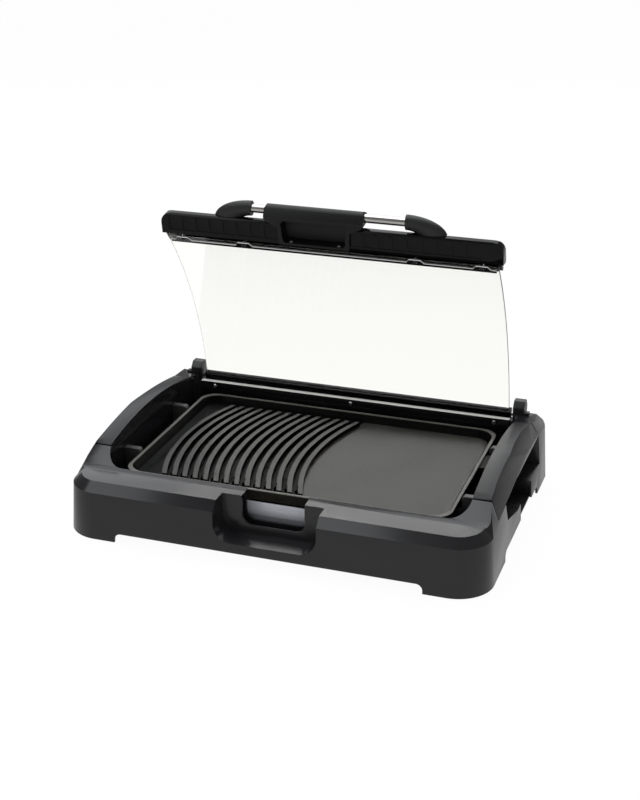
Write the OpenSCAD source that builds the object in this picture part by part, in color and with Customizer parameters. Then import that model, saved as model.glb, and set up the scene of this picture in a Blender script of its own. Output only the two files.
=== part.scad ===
/* [Base] */
// width over the feet
base_width = 580; // [400:5:700]
// depth over the feet
base_depth = 400; // [300:5:480]
// height of the front ledge
ledge_height = 79; // [60:1:100]
// height of the arched side rims
rim_height = 116; // [100:1:140]
// corner radius of the base in plan
corner_radius = 50; // [30:1:70]
// inward lean of the walls, millimetres per millimetre of height
wall_lean = 0.064; // [0.02:0.002:0.12]
// thickness of the moulded walls
wall = 3; // [2:0.1:4]
// size of the bevel round the front ledge
bevel = 12; // [6:0.5:18]
// height of the gap under the base between the feet
foot_height = 14; // [8:0.5:20]

/* [Well] */
// width of the side rims over the feet
rim_width = 40; // [34:1:60]
// distance from the front of the base to the opening
well_front = 58; // [40:1:70]
// distance from the back of the base to the opening
well_back = 34; // [30:1:50]
// corner radius of the opening at the front
well_radius = 28; // [15:1:40]
// corner radius of the opening at the back
well_back_radius = 13; // [8:1:20]

/* [Front recess] */
// half width of the finger recess in the front wall
recess_half_width = 70; // [50:1:90]
// height of the recess floor
recess_floor = 27; // [20:1:40]
// depth of the recess from the front of the base
recess_depth = 38; // [25:1:44]
// half width of the cut-out in the recess back wall
window_half_width = 43; // [25:1:55]
// height of the bottom of that cut-out
window_floor = 38; // [32:1:60]

/* [Hand holds] */
// front end of the hand hold, from the middle of the base
hold_front = -79; // [-110:1:-40]
// back end of the hand hold, from the middle of the base
hold_back = 138; // [80:1:150]
// height of the hand hold floor
hold_floor = 40; // [30:1:55]
// height of the top of the hand hold
hold_top = 85; // [70:1:90]
// half width of the connector notch under the right hand hold
notch_half_width = 36; // [25:1:45]
// position of the connector notch, from the middle of the base
notch_y = 49; // [20:1:70]

/* [Grill plate] */
// width of the channel between the plate and a side rim
channel_width = 25; // [20:1:32]
// gap between the plate and the front edge of the opening
plate_gap = 5; // [3:0.5:10]
// height of the plate rim
plate_top = 77; // [70:0.5:95]
// depth from the rim down to the flat cooking face
plate_depth = 11; // [8:0.5:16]
// plate wall thickness
plate_wall = 2; // [1.5:0.25:5]
// number of grill ribs
rib_count = 14; // [6:1:18]
// width of a grill rib
rib_width = 4.6; // [3:0.2:8]
// height of the ribs above the flat face
rib_height = 6; // [3:0.5:8]
// radius of the rib curve
rib_radius = 330; // [200:10:500]

/* [Lid] */
// height of the hinge axis
hinge_height = 93; // [90:0.5:98]
// distance of the hinge axis from the back of the base
hinge_inset = 17; // [14:0.5:22]
// radius of the hinge pins
pin_radius = 3; // [2:0.25:4]
// distance from a side of the glass to the side of the opening
glass_inset = 17; // [15:0.5:24]
// thickness of the glass
glass_thickness = 4; // [3:0.5:6]
// outside radius of the glass curve
glass_radius = 540; // [420:5:700]
// forward lean of the open lid, in degrees from upright
open_lean = 26; // [15:1:50]
// distance from the hinge to the middle of the front trim
lid_length = 302; // [285:1:320]
// length of the front trim past each side of the glass
trim_overhang = 7; // [5:0.5:12]

/* [Handle] */
// radius of the handle tube
tube_radius = 6; // [4:0.25:8]
// distance of the tube above the edge of the glass
tube_rise = 45; // [43:1:56]
// distance of the tube behind the edge of the glass
tube_back = 9; // [9:0.5:16]
// half length of the handle tube between the arms
tube_half_length = 108; // [85:1:140]
// half width of the middle grip
grip_half_width = 70; // [55:1:74]

/* [Hidden] */

// small distances used all over
over = 1;
gap = 0.3;
touch = 0.05;

// base levels and edges
half_width = base_width / 2;
half_depth = base_depth / 2;
well_half_width = half_width - rim_width;
bevel_z = ledge_height - bevel;
well_y0 = -half_depth + well_front;
well_y1 = half_depth - well_back;
arch_y = 12;
arch_radius = 568;
rise_y0 = -half_depth + corner_radius;
rise_y1 = rise_y0 + 38;
rise_top = arch_z(rise_y1);
deck_drop = 17;
deck_height = rim_height - deck_drop;
deck_y0 = arch_y + sqrt(pow(arch_radius, 2) - pow(arch_radius - deck_drop, 2));
rear_bevel = 20;
rear_radius = 16;
trough_floor = deck_height - 16;
trough_wall = deck_height - 10;
pad_height = 1.5;
floor_top = foot_height + 2.5;
front_foot = 80;
side_foot = 115;
rear_foot = 75;
foot_fillet = 9;
cover_y0 = rise_y1 - 4;
cover_peak = arch_y + 42;
cover_y1 = half_depth - 62;
front_bevel = [rise_y0, bevel_z, rise_y1, bevel_z + 26];
side_bevel = [rise_y0, bevel_z, half_depth - 108, bevel_z + 28];
back_bevel = [20, rim_height - 18, half_depth, rim_height - 36];

// lid frame
hinge_y = half_depth - hinge_inset;
glass_half_width = well_half_width - glass_inset;
glass_length = lid_length - 14;
glass_start = 4.5;
rail_height = 7.5;
glass_chord = glass_length - glass_start;
glass_rise = sqrt(pow(glass_radius, 2) - pow(glass_chord / 2, 2));
glass_mid = (glass_length + glass_start) / 2;
glass_face = 1;
clip_hole = 6;
clip_gap = 0.3;
glass_end_angle = asin(glass_chord / 2 / glass_radius);
handle_tilt = 16;
trim_height = 32;
trim_depth = 14;
rail_half_width = glass_half_width + 3;
trim_half_width = glass_half_width + trim_overhang;
clip_x = [-glass_half_width + 22, -121, 121, glass_half_width - 22];
grip_x = -18;
tube_seat = 10;
grip_base = 50;
grip_bottom = 1;
grip_floor = 4;
grip_round = 8.5;
pocket_half_width = 44;
clamp_low = -13;
clamp_top = -8;
clamp_lug = -1;

// rear guard, screws and brackets
bracket_x = well_half_width - 10;
bracket_width = 16;
bracket_leg = 8;
bracket_lug = 7;
bracket_rise = 17;
guard_half_width = well_half_width - well_back_radius;
guard_depth = 3.2;
guard_floor = trough_wall - 19;
guard_lip = 2.2;
guard_hook = 5;
guard_screw_x = [-guard_half_width + 22, 0, guard_half_width - 22];
guard_screw_z = trough_wall - 4.5;
foot_x = [-half_width + 42, half_width - 42];
foot_y = [-half_depth + 46, half_depth - 38];
foot_boss = 52;
pad_radius = 10;
floor_screw_x = half_width - 65;
floor_screw_spots = [[-floor_screw_x, -60], [-floor_screw_x, 60], [floor_screw_x, -60],
                     [floor_screw_x, notch_y - notch_half_width - 12], [0, -half_depth + 70], [0, half_depth - 70]];
cover_z0 = 74.5;
cover_z1 = 92;
cover_z2 = 88;
cover_gap = 0.5;

// plate, tray and element
plate_half_width = well_half_width - channel_width;
plate_y0 = well_y0 + plate_gap;
plate_y1 = well_y1 - guard_depth - plate_gap - 4;
plate_floor = plate_top - plate_depth;
plate_bottom = plate_floor - 5;
plate_radius = 22;
wall_slope = 0.2;
cook_slope = 0.55;
plate_slope = wall_slope * (plate_top - 2 - plate_bottom);
rim_lip = 1.5;
cook_inset = rim_lip + plate_wall + cook_slope * (plate_depth + over);
cook_half_width = plate_half_width - cook_inset;
cook_y0 = plate_y0 + cook_inset;
cook_y1 = plate_y1 - cook_inset;
rib_left = -(plate_half_width - 53);
rib_right = 30;
rib_pitch = (rib_right - rib_left - 8) / (rib_count - 1);
rib_y0 = cook_y0 + 9;
rib_y1 = cook_y1 - 14;
rib_mid = (rib_y0 + rib_y1) / 2;
slot_radius = 2.6;
slot_length = 14;
slot_skew = -4.5;
rib_bow = rib_radius - sqrt(pow(rib_radius, 2) - pow((rib_y1 - rib_y0) / 2, 2));
boss_x = [-150, 0, 150];
support_y = [-72, 88];
support_z = plate_bottom;
support_top = plate_top + 4;
support_width = 10;
plate_clear = 2;
tray_half_width = plate_half_width - 25;
tray_y0 = well_y0 + 13;
tray_y1 = well_y1 - 22;
tray_z = 20;
tray_top = 52;
tray_lip_half_width = 60;
tray_lip_rise = 6.5;
element_radius = 3.3;
element_z = plate_bottom - element_radius - 0.1;
element_x = 160;
pin_spacing = 24;
lead_front = notch_y - pin_spacing / 2;
lead_back = notch_y + pin_spacing / 2;
tight_bend = 8.5;
wide_bend = 26;
run_front = -78;
run_back = lead_back + 2 * tight_bend;
boss_offset = 16;
boss_y = [run_front + boss_offset, run_back - boss_offset];
block_x = plate_half_width - rim_lip + gap;
block_length = 13;
block_half_width = 21;
block_floor = element_z + tight_bend - 1.6;
block_top = plate_top - 2;
terminal_z = plate_top - 10;
terminal_reach = channel_width - 14.5;
end_x = block_x + element_radius + 1.3;
arm_screw_x = [-150, -132, 132, 150];
arm_screw_y = 6;
inlet_half_width = 24;
inlet_half_height = 11;
inlet_z = terminal_z;

function arch_z(y) = rim_height - arch_radius + sqrt(pow(arch_radius, 2) - pow(y - arch_y, 2));
function side_x(z) = half_width - wall_lean * z;

// ---------- shared shapes ----------

// box with rounded corners in plan whose walls lean in by lean per unit of height
module lean_box(x, y0, y1, r, r_back, z0, z1, lean) {
    fall = lean * (z1 - z0);
    translate([0, y1 - r_back, 0])
        rotate([90, 0, 0])
            linear_extrude(y1 - r_back - y0 - r)
                polygon([[-x, z0], [x, z0], [x - fall, z1], [-x + fall, z1]]);
    translate([-x + r, 0, 0])
        rotate([90, 0, 90])
            linear_extrude(2 * (x - r))
                polygon([[y0, z0], [0, z0], [0, z1], [y0 + fall, z1]]);
    translate([-x + r_back, 0, 0])
        rotate([90, 0, 90])
            linear_extrude(2 * (x - r_back))
                polygon([[0, z0], [y1, z0], [y1 - fall, z1], [0, z1]]);
    for (s = [-1, 1]) {
        translate([s * (x - r), y0 + r, z0])
            cylinder(h = z1 - z0, r1 = r, r2 = r - fall, $fn = 72);
        translate([s * (x - r_back), y1 - r_back, z0])
            cylinder(h = z1 - z0, r1 = r_back, r2 = r_back - fall, $fn = 48);
    }
}

// the same box in one piece, for the shell
module lean_block(x, y0, y1, r, r_back, z0, z1, lean) {
    fall = lean * (z1 - z0);
    hull()
        for (s = [-1, 1]) {
            translate([s * (x - r), y0 + r, z0])
                cylinder(h = z1 - z0, r1 = r, r2 = r - fall, $fn = 72);
            translate([s * (x - r_back), y1 - r_back, z0])
                cylinder(h = z1 - z0, r1 = r_back, r2 = r_back - fall, $fn = 40);
        }
}

// outline with rounded corners
module round_rect(x, y0, y1, r) {
    for (s = [-1, 1], y = [y0 + r, y1 - r])
        translate([s * (x - r), y])
            circle(r, $fn = 64);
    translate([-x + r, y0])
        square([2 * (x - r), y1 - y0]);
    translate([-x, y0 + r])
        square([2 * x, y1 - y0 - 2 * r]);
}

// pan head screw with a cross recess, head up, shank down
module screw(head_r, head_h, shank_r, shank_l) {
    difference() {
        cylinder(h = head_h, r1 = head_r, r2 = head_r * 0.72, $fn = 32);
        for (a = [0, 90])
            rotate(a)
                translate([-head_r * 0.5, -head_r * 0.1, head_h * 0.45])
                    cube([head_r, head_r * 0.2, head_h]);
    }
    translate([0, 0, -shank_l])
        cylinder(h = shank_l + touch, r = shank_r, $fn = 24);
}

// ---------- base ----------

// everything under the arched side line, as a slab across the base
module side_line(o) {
    rotate([90, 0, 90])
        linear_extrude(base_width + 2 * over, center = true)
            union() {
                intersection() {
                    polygon([[-half_depth - over, -over], [deck_y0 + over, -over],
                             [deck_y0 + over, rim_height + over], [rise_y1 + 2, rim_height + over],
                             [rise_y1, rise_top - o], [rise_y0 + 10, ledge_height + 3 - o],
                             [rise_y0 + 4, ledge_height + 0.6 - o], [rise_y0, ledge_height - o],
                             [-half_depth - over, ledge_height - o]]);
                    translate([arch_y, rim_height - arch_radius - o])
                        circle(arch_radius, $fn = 360);
                }
                polygon([[deck_y0, -over], [half_depth + over, -over],
                         [half_depth + over, deck_height - rear_bevel - over - o],
                         [half_depth - rear_bevel, deck_height - o], [deck_y0, deck_height - o]]);
            }
}

// removes what lies outside a sloping bevel plane on the side of the base, through a line
// from y, z to y, z
module bevel_cut(line, slope, o) {
    climb = (line[3] - line[1]) / (line[2] - line[0]);
    for (s = [0, 1])
        mirror([s, 0, 0])
            translate([side_x(line[1]) - o, line[0], line[1] - o * 0.4])
                rotate([atan(climb), 0, 0])
                    rotate([0, -90 + atan(slope), 0])
                        translate([0, -2 * base_depth, -base_width])
                            cube([0.1 + base_width, 4 * base_depth, 2 * base_width]);
}

module base_body(o) {
    intersection() {
        lean_block(half_width - o, -half_depth + o, half_depth - o, corner_radius - o,
                 rear_radius - o, 0, rim_height + 6, wall_lean);
        union() {
            translate([-base_width, -base_depth, -over])
                cube([2 * base_width, 2 * base_depth, bevel_z + over - 0.4 * o]);
            front_cap(o);
            rim_block(o);
        }
    }
}

// bevelled top of the front ledge
module front_cap(o) {
    fall = wall_lean * bevel_z;
    lean_block(half_width - fall - o, -half_depth + fall + o, rise_y0 + 60, corner_radius - fall - o, 16,
             bevel_z - 0.4 * o - touch, ledge_height - o, 0.97);
}

// arched rims and the deck behind the well
module rim_block(o) {
    difference() {
        intersection() {
            side_line(o);
            translate([-half_width, rise_y0, 0])
                cube([base_width, half_depth - rise_y0 + over, rim_height + over]);
        }
        bevel_cut(front_bevel, 0.97, o);
        bevel_cut(side_bevel, 2.6, o);
        bevel_cut(back_bevel, 1.5, o);
    }
}

// hollow across the back that the lid hinge turns in, o bigger all round
module hinge_trough(o) {
    half = bracket_x + bracket_leg + gap + o;
    rotate([90, 0, 90])
        linear_extrude(2 * half, center = true)
            polygon([[well_y1 - over, trough_wall - o], [well_y1 + wall + o, trough_wall - o],
                     [well_y1 + wall + o, trough_floor - o], [half_depth + over, trough_floor - o],
                     [half_depth + over, rim_height + over], [well_y1 - over, rim_height + over]]);
}

module well(o, z0) {
    translate([0, 0, z0])
        linear_extrude(rim_height + 20 - z0) {
            round_rect(well_half_width + o, well_y0 - o, well_y1 - base_depth / 4, well_radius + o);
            round_rect(well_half_width + o, well_y0 + base_depth / 4, well_y1 + o, well_back_radius + o);
        }
}

module recess_shape(x, z, r, o) {
    translate([0, z + r])
        square([2 * (x - r), 2 * r + 2 * o], center = true);
    translate([-x - o, z + r])
        square([2 * (x + o), 90]);
    for (s = [-1, 1])
        translate([s * (x - r), z + r])
            circle(r + o, $fn = 64);
}

module recess_cut(o) {
    translate([0, -half_depth + recess_depth + o, 0])
        rotate([90, 0, 0])
            linear_extrude(recess_depth + o + 10)
                recess_shape(recess_half_width, recess_floor, 24, o);
}

module window_cut() {
    translate([0, well_y0 + over, 0])
        rotate([90, 0, 0])
            linear_extrude(base_depth / 2 - recess_depth + well_y0 + over + 10)
                recess_shape(window_half_width, window_floor, 14, 0);
}

// outline of a hand hold seen from the side, y across and z up
module hold_shape(o, notched) {
    polygon([[hold_front - o, hold_top + o], [hold_back + o, hold_top + o],
             [hold_back + 6 + o, hold_floor - o], [hold_front + 74, hold_floor - 3 - o],
             [hold_front + 12 - o, hold_floor + 12 - o]]);
    if (notched)
        translate([notch_y - notch_half_width - o, -over])
            square([2 * (notch_half_width + o), hold_floor + 6 + over]);
}

module hold_cut(s, o, x0, x1) {
    mirror([s < 0 ? 1 : 0, 0, 0])
        translate([x0, 0, 0])
            rotate([90, 0, 90])
                linear_extrude(x1 - x0)
                    hold_shape(o, s > 0);
}

// gaps under the walls between the feet
module foot_gaps() {
    difference() {
        union() {
            translate([-half_width + front_foot, -base_depth, -over])
                cube([base_width - 2 * front_foot, 2 * base_depth, foot_height + over]);
            translate([-base_width, -half_depth + side_foot, -over])
                cube([2 * base_width, base_depth - side_foot - rear_foot, foot_height + over]);
        }
        for (s = [-1, 1]) {
            translate([s * (half_width - front_foot), 0, foot_height])
                foot_corner(s);
            translate([0, -half_depth + side_foot, foot_height])
                rotate([0, 0, 90])
                    foot_corner(-1);
            translate([0, half_depth - rear_foot, foot_height])
                rotate([0, 0, 90])
                    foot_corner(1);
        }
    }
}

// rounds the inner end of a foot into the underside
module foot_corner(s) {
    rotate([90, 0, 0])
        linear_extrude(3 * base_width, center = true)
            difference() {
                translate([s > 0 ? -foot_fillet : 0, -foot_fillet])
                    square(foot_fillet);
                translate([-s * foot_fillet, -foot_fillet])
                    circle(foot_fillet, $fn = 40);
            }
}

// skin of the rim that the side covers take over; g widens the space left for them
module cover_zone(s, g) {
    mirror([s < 0 ? 1 : 0, 0, 0])
        translate([well_half_width - over, 0, 0])
            rotate([90, 0, 90])
                linear_extrude(base_width / 2)
                    polygon([[cover_y0 - g, cover_z0 - g], [cover_peak, cover_z1 - g],
                             [cover_y1 + g, cover_z2 - g], [cover_y1 + g, rim_height + 9],
                             [cover_y0 - g, rim_height + 9]]);
}

module side_cover(s) {
    color([0.09, 0.09, 0.095])
        difference() {
            intersection() {
                base_body(0);
                cover_zone(s, 0);
            }
            base_body(wall);
            well(0, -over);
        }
}

module base_shell() {
    color([0.07, 0.07, 0.075])
        difference() {
            base_body(0);
            difference() {
                base_body(wall);
                well(wall, -over);
                hinge_trough(wall);
                recess_cut(wall);
                hold_cut(1, wall, well_half_width, half_width);
                hold_cut(-1, wall, well_half_width, half_width);
            }
            well(0, -over);
            hinge_trough(0);
            recess_cut(0);
            window_cut();
            hold_cut(1, 0, well_half_width + wall, half_width + 10);
            hold_cut(-1, 0, well_half_width + wall, half_width + 10);
            inlet_window();
            foot_gaps();
            floor_space();
            difference() {
                union() {
                    cover_zone(1, cover_gap);
                    cover_zone(-1, cover_gap);
                }
                base_body(wall);
            }
            translate([-base_width, -base_depth, -over])
                cube([2 * base_width, 2 * base_depth, over + pad_height]);
        }
}

// room for the floor plate inside the walls
module floor_space() {
    lean_block(half_width - wall, -half_depth + wall, half_depth - wall, corner_radius - wall,
             rear_radius - wall, -over, floor_top, wall_lean);
}

// the space inside the walls between a height and the top of the floor plate
module floor_block(z) {
    inset = wall + gap + wall_lean * z;
    lean_box(half_width - inset, -half_depth + inset, half_depth - inset,
             corner_radius - inset, rear_radius - inset, z, floor_top, wall_lean);
}

module base_floor() {
    color([0.1, 0.1, 0.105]) {
        difference() {
            union() {
                floor_block(foot_height);
                intersection() {
                    floor_block(pad_height);
                    for (x = foot_x, y = foot_y)
                        translate([x - foot_boss / 2, y - foot_boss / 2, pad_height])
                            cube([foot_boss, foot_boss, foot_height]);
                }
                for (x = [-150, 0, 150], y = [-90, 90])
                    translate([x - 12, y - 3, floor_top - touch])
                        cube([24, 6, tray_z - floor_top + touch]);
            }
            for (x = foot_x, y = foot_y)
                translate([x, y, 0])
                    cylinder(h = pad_height + 2.5, r = pad_radius + 0.1, $fn = 40);
            for (p = floor_screw_spots)
                translate([p[0], p[1], 0])
                    cylinder(h = floor_top + over, r = 1.6, $fn = 24);
        }
    }
}

module floor_screws() {
    color([0.55, 0.56, 0.58])
        for (p = floor_screw_spots)
            translate([p[0], p[1], foot_height])
                mirror([0, 0, 1])
                    screw(3.2, 1.6, 1.55, 6);
}

module foot_pads() {
    color([0.12, 0.12, 0.12])
        for (x = foot_x, y = foot_y)
            translate([x, y, 0])
                union() {
                    cylinder(h = 1, r1 = pad_radius - 0.8, r2 = pad_radius, $fn = 40);
                    translate([0, 0, 1])
                        cylinder(h = pad_height + 1.5, r = pad_radius, $fn = 40);
                }
}

// moulded upstand along the back of the well
module rear_guard() {
    color([0.1, 0.1, 0.11])
        difference() {
            union() {
                translate([-guard_half_width, well_y1 - guard_depth, guard_floor])
                    cube([2 * guard_half_width, guard_depth, trough_wall + guard_lip - guard_floor]);
                translate([-guard_half_width, well_y1 - touch, trough_wall])
                    cube([2 * guard_half_width, guard_hook, guard_lip]);
                for (x = [-guard_half_width + 20 : 38.4 : guard_half_width - 19])
                    translate([x, well_y1 - guard_depth - 1.2, guard_floor])
                        cube([1.6, 1.3, 9]);
            }
            for (x = guard_screw_x)
                translate([x, well_y1 - guard_depth - over, guard_screw_z])
                    rotate([-90, 0, 0])
                        cylinder(h = guard_depth + 2 * over, r = 1.6, $fn = 24);
        }
}

module rear_guard_screws() {
    color([0.6, 0.6, 0.62])
        for (x = guard_screw_x)
            translate([x, well_y1 - guard_depth, guard_screw_z])
                rotate([90, 0, 0])
                    screw(3.4, 1.8, 1.55, guard_depth - 0.2);
}

// side view of a hinge bracket standing on a level, y across and z up
module bracket_side(z) {
    y0 = hinge_y - 14;
    y1 = half_depth - 5;
    top = deck_height + bracket_rise;
    polygon([[y0 + 1, z], [half_depth - rear_bevel + deck_height - z, z],
             [y1, deck_height + half_depth - rear_bevel - y1], [y1, deck_height + 7],
             [hinge_y + 5, top], [hinge_y - 6, top], [y0 + 1, deck_height + 9]]);
}

// bracket with a leg down in the trough and a shoulder on the deck
module hinge_bracket(s) {
    y0 = hinge_y - 13;
    color([0.08, 0.08, 0.085])
        mirror([s < 0 ? 1 : 0, 0, 0])
            difference() {
                union() {
                    translate([bracket_x, 0, 0])
                        rotate([90, 0, 90])
                            linear_extrude(bracket_leg)
                                bracket_side(trough_floor);
                    translate([bracket_x + bracket_leg - touch, 0, 0])
                        rotate([90, 0, 90])
                            linear_extrude(bracket_width - bracket_leg + touch)
                                bracket_side(deck_height);
                    translate([bracket_x + bracket_width - touch, y0, deck_height])
                        cube([bracket_lug, 9, 3]);
                }
                translate([bracket_x - over, hinge_y, hinge_height])
                    rotate([0, 90, 0])
                        cylinder(h = bracket_leg, r = pin_radius + touch, $fn = 48);
                translate([bracket_x + bracket_width + 3.4, y0 + 4.5, deck_height - over])
                    cylinder(h = 6, r = 1.4, $fn = 24);
            }
}

module bracket_screws() {
    color([0.55, 0.56, 0.58])
        for (s = [-1, 1])
            translate([s * (bracket_x + bracket_width + 3.4), hinge_y - 8.5, deck_height + 3])
                screw(2.6, 1.4, 1.35, 2.9);
}

// blocks in the channel that carry the plate and keep it in the middle
module plate_supports() {
    x0 = plate_half_width - 14;
    x1 = plate_half_width + plate_clear;
    color([0.3, 0.3, 0.31])
        for (s = [-1, 1], y = support_y)
            mirror([s < 0 ? 1 : 0, 0, 0])
                translate([0, y + support_width / 2, 0])
                    rotate([90, 0, 0])
                        linear_extrude(support_width)
                            polygon([[x0, support_z - 5], [well_half_width, support_z - 12],
                                     [well_half_width, support_top], [x1 + 3, support_top],
                                     [x1, support_top - 3], [x1, support_z], [x0, support_z]]);
}

// ---------- parts under the plate ----------

module inlet_window() {
    translate([well_half_width - over, notch_y - inlet_half_width, inlet_z - inlet_half_height])
        cube([wall + 2 * over, 2 * inlet_half_width, 2 * inlet_half_height]);
}

module inlet_shroud() {
    x0 = well_half_width + wall;
    color([0.06, 0.06, 0.06])
        difference() {
            union() {
                translate([x0, notch_y - inlet_half_width - 7, inlet_z - inlet_half_height - 3])
                    cube([2.4, 2 * inlet_half_width + 14, 2 * inlet_half_height + 6]);
                translate([x0, notch_y - inlet_half_width, inlet_z - inlet_half_height])
                    cube([14, 2 * inlet_half_width, 2 * inlet_half_height]);
            }
            translate([x0 - over, notch_y - inlet_half_width + 2, inlet_z - inlet_half_height + 2])
                cube([20, 2 * inlet_half_width - 4, 2 * inlet_half_height - 4]);
            for (s = [-1, 1])
                translate([x0 - over, notch_y + s * (inlet_half_width + 3.6), inlet_z])
                    rotate([0, 90, 0])
                        cylinder(h = 6, r = 1.4, $fn = 24);
        }
}

module inlet_screws() {
    color([0.55, 0.56, 0.58])
        for (s = [-1, 1])
            translate([well_half_width + wall + 2.4, notch_y + s * (inlet_half_width + 3.6), inlet_z])
                rotate([0, 90, 0])
                    screw(2.5, 1.3, 1.35, 2.3);
}

module drip_tray() {
    color([0.74, 0.75, 0.77])
        difference() {
            union() {
                lean_box(tray_half_width, tray_y0, tray_y1, 22, 22, tray_z, tray_top, -0.12);
                translate([0, 0, tray_top - 1.2])
                    linear_extrude(1.2)
                        round_rect(tray_half_width + 9, tray_y0 - 4.3, tray_y1 + 9, 26);
                translate([-tray_lip_half_width, tray_y0 - 4.3, tray_top - 1.2])
                    cube([2 * tray_lip_half_width, 1.2, tray_lip_rise + 1.2]);
            }
            lean_box(tray_half_width - 1.2, tray_y0 + 1.2, tray_y1 - 1.2, 20.8, 20.8,
                     tray_z + 1.2, tray_top + over, -0.12);
        }
}

module grill_plate() {
    color([0.16, 0.155, 0.15])
        difference() {
            union() {
                difference() {
                    union() {
                        lean_box(plate_half_width - rim_lip - plate_slope, plate_y0 + rim_lip + plate_slope,
                                 plate_y1 - rim_lip - plate_slope, plate_radius - plate_slope,
                                 plate_radius - plate_slope, plate_bottom, plate_top - 2, -wall_slope);
                        translate([0, 0, plate_top - 2])
                            linear_extrude(2)
                                round_rect(plate_half_width, plate_y0, plate_y1, plate_radius + rim_lip);
                    }
                    lean_box(cook_half_width, cook_y0, cook_y1, plate_radius - 3, plate_radius - 3,
                             plate_floor, plate_top + over, -cook_slope);
                }
                ribs();
                for (x = boss_x, y = boss_y)
                    translate([x, y, plate_bottom - 2.5])
                        cylinder(h = 3, r = 5, $fn = 32);
            }
            drain_slots();
            for (x = boss_x, y = boss_y)
                translate([x, y, plate_bottom - 2.5 - over])
                    cylinder(h = over + 4, r = 1.5, $fn = 24);
        }
}

// curved ribs over the left half of the plate
module ribs() {
    intersection() {
        translate([-plate_half_width, rib_y0, plate_floor - touch])
            cube([plate_half_width + rib_right + 20, rib_y1 - rib_y0, rib_height + touch]);
        union()
            for (i = [0 : rib_count - 1])
                translate([rib_left + i * rib_pitch + rib_radius - rib_bow, rib_mid, plate_floor - touch])
                    difference() {
                        cylinder(h = rib_height + touch, r = rib_radius + rib_width / 2, $fn = 180);
                        translate([0, 0, -over])
                            cylinder(h = rib_height + 3 * over, r = rib_radius - rib_width / 2, $fn = 180);
                        translate([0, -2 * rib_radius, -over])
                            cube([2 * rib_radius, 4 * rib_radius, 2 * rib_height]);
                    }
    }
}

// slots between the front ends of the ribs that let fat through to the tray
module drain_slots() {
    for (i = [0 : rib_count - 2])
        translate([rib_left + (i + 0.5) * rib_pitch + 1.5, rib_y0 + 2, plate_bottom - over]) {
            cylinder(h = plate_depth + 20, r = slot_radius, $fn = 32);
            translate([slot_skew, slot_length, 0])
                cylinder(h = plate_depth + 20, r = slot_radius, $fn = 32);
            linear_extrude(plate_depth + 20)
                polygon([[-slot_radius, 0], [slot_radius, 0], [slot_skew + slot_radius, slot_length],
                         [slot_skew - slot_radius, slot_length]]);
        }
}

// straight run of the element along x
module run_x(x0, x1, y) {
    translate([x0, y, element_z])
        rotate([0, 90, 0])
            cylinder(h = x1 - x0, r = element_radius, $fn = 24);
}

// straight run of the element along y
module run_y(x, y0, y1) {
    translate([x, y1, element_z])
        rotate([90, 0, 0])
            cylinder(h = y1 - y0, r = element_radius, $fn = 24);
}

// quarter bend of the element round a centre, starting at an angle
module bend(x, y, r, start) {
    translate([x, y, element_z])
        rotate([0, 0, start])
            rotate_extrude(angle = 90, $fn = 64)
                translate([r, 0])
                    circle(element_radius, $fn = 24);
}

module heating_element() {
    color([0.3, 0.29, 0.28]) {
        run_x(-element_x, element_x, run_front);
        run_x(-element_x, element_x, run_back);
        bend(-element_x, run_front + wide_bend, wide_bend, 180);
        bend(-element_x, run_back - wide_bend, wide_bend, 90);
        run_y(-element_x - wide_bend, run_front + wide_bend, run_back - wide_bend);
        bend(element_x, run_front + tight_bend, tight_bend, -90);
        run_y(element_x + tight_bend, run_front + tight_bend, lead_front - tight_bend);
        bend(element_x + 2 * tight_bend, lead_front - tight_bend, tight_bend, 90);
        bend(element_x, run_back - tight_bend, tight_bend, 0);
        bend(element_x + 2 * tight_bend, lead_back + tight_bend, tight_bend, 180);
        for (y = [lead_front, lead_back]) {
            run_x(element_x + 2 * tight_bend, end_x - tight_bend, y);
            translate([end_x - tight_bend, y, element_z + tight_bend])
                rotate([-90, 0, 0])
                    rotate_extrude(angle = 90, $fn = 64)
                        translate([tight_bend, 0])
                            circle(element_radius, $fn = 24);
        }
    }
}

// spring strips that hold the element up against the plate
module element_clips() {
    color([0.7, 0.7, 0.71])
        for (x = boss_x) {
            translate([x - 5, 0, 0])
                element_clip(run_back);
            translate([x - 5, 0, 0])
                mirror([0, 1, 0])
                    element_clip(-run_front);
        }
}

module element_clip(run) {
    r = element_radius;
    tab_z = plate_bottom - 2.5;
    boss = run - boss_offset;
    difference() {
        rotate([90, 0, 90])
            linear_extrude(10)
                difference() {
                    union() {
                        translate([run, element_z])
                            circle(r + 1.3, $fn = 40);
                        translate([boss - 5, tab_z - 1.2])
                            square([run - r - boss + 5, 1.2]);
                    }
                    translate([run, element_z])
                        circle(r + 0.1, $fn = 40);
                    translate([run - r - 0.1, element_z])
                        square([2 * r + 2, r + 2]);
                    translate([run - r - 2, tab_z])
                        square([2 * r + 4, r + 2]);
                }
        translate([5, boss, tab_z - 3])
            cylinder(h = 4, r = 1.6, $fn = 24);
    }
}

module clip_screws() {
    color([0.55, 0.56, 0.58])
        for (x = boss_x, y = boss_y)
            translate([x, y, plate_bottom - 2.5 - 1.2])
                mirror([0, 0, 1])
                    screw(2.9, 1.5, 1.45, 3.4);
}

module terminal_block() {
    color([0.82, 0.8, 0.75])
        difference() {
            translate([block_x, notch_y - block_half_width, block_floor])
                cube([block_length, 2 * block_half_width, block_top - block_floor]);
            for (s = [-1, 1]) {
                translate([end_x, notch_y + s * pin_spacing / 2, block_floor - over])
                    cylinder(h = 1.7 + over, r = element_radius + 0.25, $fn = 32);
                translate([block_x + block_length - 4, notch_y + s * pin_spacing / 2, terminal_z])
                    rotate([0, 90, 0])
                        cylinder(h = 5, r = 2.4, $fn = 32);
            }
            translate([block_x + block_length - 6, notch_y, terminal_z])
                rotate([0, 90, 0])
                    cylinder(h = 7, r = 3.6, $fn = 32);
        }
}

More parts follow.
